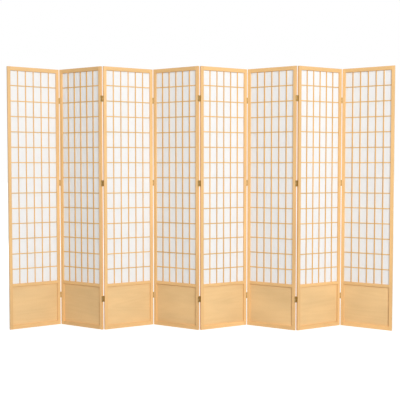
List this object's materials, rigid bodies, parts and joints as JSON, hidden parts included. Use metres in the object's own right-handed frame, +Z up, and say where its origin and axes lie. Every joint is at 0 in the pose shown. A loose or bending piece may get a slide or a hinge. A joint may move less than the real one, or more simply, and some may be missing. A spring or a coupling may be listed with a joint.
{
  "type": "folding screen",
  "caption": "Free-standing wooden folding screen: framed panels with a paper-backed lattice above a plywood board, joined by two-way hinges so they fold to either side.",
  "frame": {"origin": "on the floor, at the middle of the zigzag's footprint", "axes": "+X along the row, to the right as seen from the front; +Y from the front (lattice side) to the back; +Z up"},
  "size_m": [3.1146, 0.2494, 2.1336],
  "materials": {
    "frame_wood": "satin, clear lacquer on light softwood",
    "lattice_wood": "satin, clear lacquer on light softwood",
    "plywood": "matt",
    "paper": "matt, translucent",
    "hinge_metal": "aged brass"
  },
  "bodies": {
    "panel_1": {"panel_1_stiles": "frame_wood", "panel_1_rails": "frame_wood", "panel_1_lattice": "lattice_wood", "panel_1_paper": "paper", "panel_1_kickboard": "plywood", "panel_1_hinge_leaves": "hinge_metal"},
    "panel_2": {"panel_2_stiles": "frame_wood", "panel_2_rails": "frame_wood", "panel_2_lattice": "lattice_wood", "panel_2_paper": "paper", "panel_2_kickboard": "plywood", "panel_2_hinge_leaves": "hinge_metal"},
    "panel_3": {"panel_3_stiles": "frame_wood", "panel_3_rails": "frame_wood", "panel_3_lattice": "lattice_wood", "panel_3_paper": "paper", "panel_3_kickboard": "plywood", "panel_3_hinge_leaves": "hinge_metal"},
    "panel_4": {"panel_4_stiles": "frame_wood", "panel_4_rails": "frame_wood", "panel_4_lattice": "lattice_wood", "panel_4_paper": "paper", "panel_4_kickboard": "plywood", "panel_4_hinge_leaves": "hinge_metal"},
    "panel_5": {"panel_5_stiles": "frame_wood", "panel_5_rails": "frame_wood", "panel_5_lattice": "lattice_wood", "panel_5_paper": "paper", "panel_5_kickboard": "plywood", "panel_5_hinge_leaves": "hinge_metal"},
    "panel_6": {"panel_6_stiles": "frame_wood", "panel_6_rails": "frame_wood", "panel_6_lattice": "lattice_wood", "panel_6_paper": "paper", "panel_6_kickboard": "plywood", "panel_6_hinge_leaves": "hinge_metal"},
    "panel_7": {"panel_7_stiles": "frame_wood", "panel_7_rails": "frame_wood", "panel_7_lattice": "lattice_wood", "panel_7_paper": "paper", "panel_7_kickboard": "plywood", "panel_7_hinge_leaves": "hinge_metal"},
    "panel_8": {"panel_8_stiles": "frame_wood", "panel_8_rails": "frame_wood", "panel_8_lattice": "lattice_wood", "panel_8_paper": "paper", "panel_8_kickboard": "plywood", "panel_8_hinge_leaves": "hinge_metal"},
    "fold_1_2_links": {"fold_1_2_hinge_links": "hinge_metal"},
    "fold_2_3_links": {"fold_2_3_hinge_links": "hinge_metal"},
    "fold_3_4_links": {"fold_3_4_hinge_links": "hinge_metal"},
    "fold_4_5_links": {"fold_4_5_hinge_links": "hinge_metal"},
    "fold_5_6_links": {"fold_5_6_hinge_links": "hinge_metal"},
    "fold_6_7_links": {"fold_6_7_hinge_links": "hinge_metal"},
    "fold_7_8_links": {"fold_7_8_hinge_links": "hinge_metal"}
  },
  "joints": [
    {"name": "fold_1_2_front_pins", "type": "hinge", "parent": "fold_1_2_links", "child": "panel_1", "pos_m": [-1.18039, 0.10207, 1.193], "axis": [0, 0, 1], "range_deg": [-60.66, 117.34]},
    {"name": "fold_1_2_back_pins", "type": "hinge", "parent": "panel_2", "child": "fold_1_2_links", "pos_m": [-1.16935, 0.12227, 1.193], "axis": [0, 0, -1], "range_deg": [0, 178]},
    {"name": "fold_2_3_front_pins", "type": "hinge", "parent": "fold_2_3_links", "child": "panel_2", "pos_m": [-0.79992, -0.10589, 1.193], "axis": [0, 0, 1], "range_deg": [0, 178]},
    {"name": "fold_2_3_back_pins", "type": "hinge", "parent": "panel_3", "child": "fold_2_3_links", "pos_m": [-0.78887, -0.08569, 1.193], "axis": [0, 0, -1], "range_deg": [-57.32, 120.68]},
    {"name": "fold_3_4_front_pins", "type": "hinge", "parent": "fold_3_4_links", "child": "panel_3", "pos_m": [-0.39736, 0.10207, 1.193], "axis": [0, 0, 1], "range_deg": [-57.32, 120.68]},
    {"name": "fold_3_4_back_pins", "type": "hinge", "parent": "panel_4", "child": "fold_3_4_links", "pos_m": [-0.38631, 0.12227, 1.193], "axis": [0, 0, -1], "range_deg": [0, 178]},
    {"name": "fold_4_5_front_pins", "type": "hinge", "parent": "panel_4", "child": "fold_4_5_links", "pos_m": [-0.01688, -0.10589, 1.193], "axis": [0, 0, -1], "range_deg": [0, 178]},
    {"name": "fold_4_5_back_pins", "type": "hinge", "parent": "fold_4_5_links", "child": "panel_5", "pos_m": [-0.00584, -0.08569, 1.193], "axis": [0, 0, 1], "range_deg": [-57.32, 120.68]},
    {"name": "fold_5_6_front_pins", "type": "hinge", "parent": "panel_5", "child": "fold_5_6_links", "pos_m": [0.38568, 0.10207, 1.193], "axis": [0, 0, -1], "range_deg": [-57.32, 120.68]},
    {"name": "fold_5_6_back_pins", "type": "hinge", "parent": "fold_5_6_links", "child": "panel_6", "pos_m": [0.39673, 0.12227, 1.193], "axis": [0, 0, 1], "range_deg": [0, 178]},
    {"name": "fold_6_7_front_pins", "type": "hinge", "parent": "panel_6", "child": "fold_6_7_links", "pos_m": [0.76616, -0.10589, 1.193], "axis": [0, 0, -1], "range_deg": [0, 178]},
    {"name": "fold_6_7_back_pins", "type": "hinge", "parent": "fold_6_7_links", "child": "panel_7", "pos_m": [0.7772, -0.08569, 1.193], "axis": [0, 0, 1], "range_deg": [-57.32, 120.68]},
    {"name": "fold_7_8_front_pins", "type": "hinge", "parent": "panel_7", "child": "fold_7_8_links", "pos_m": [1.16872, 0.10207, 1.193], "axis": [0, 0, -1], "range_deg": [-57.32, 120.68]},
    {"name": "fold_7_8_back_pins", "type": "hinge", "parent": "fold_7_8_links", "child": "panel_8", "pos_m": [1.17976, 0.12227, 1.193], "axis": [0, 0, 1], "range_deg": [0, 178]}
  ]
}
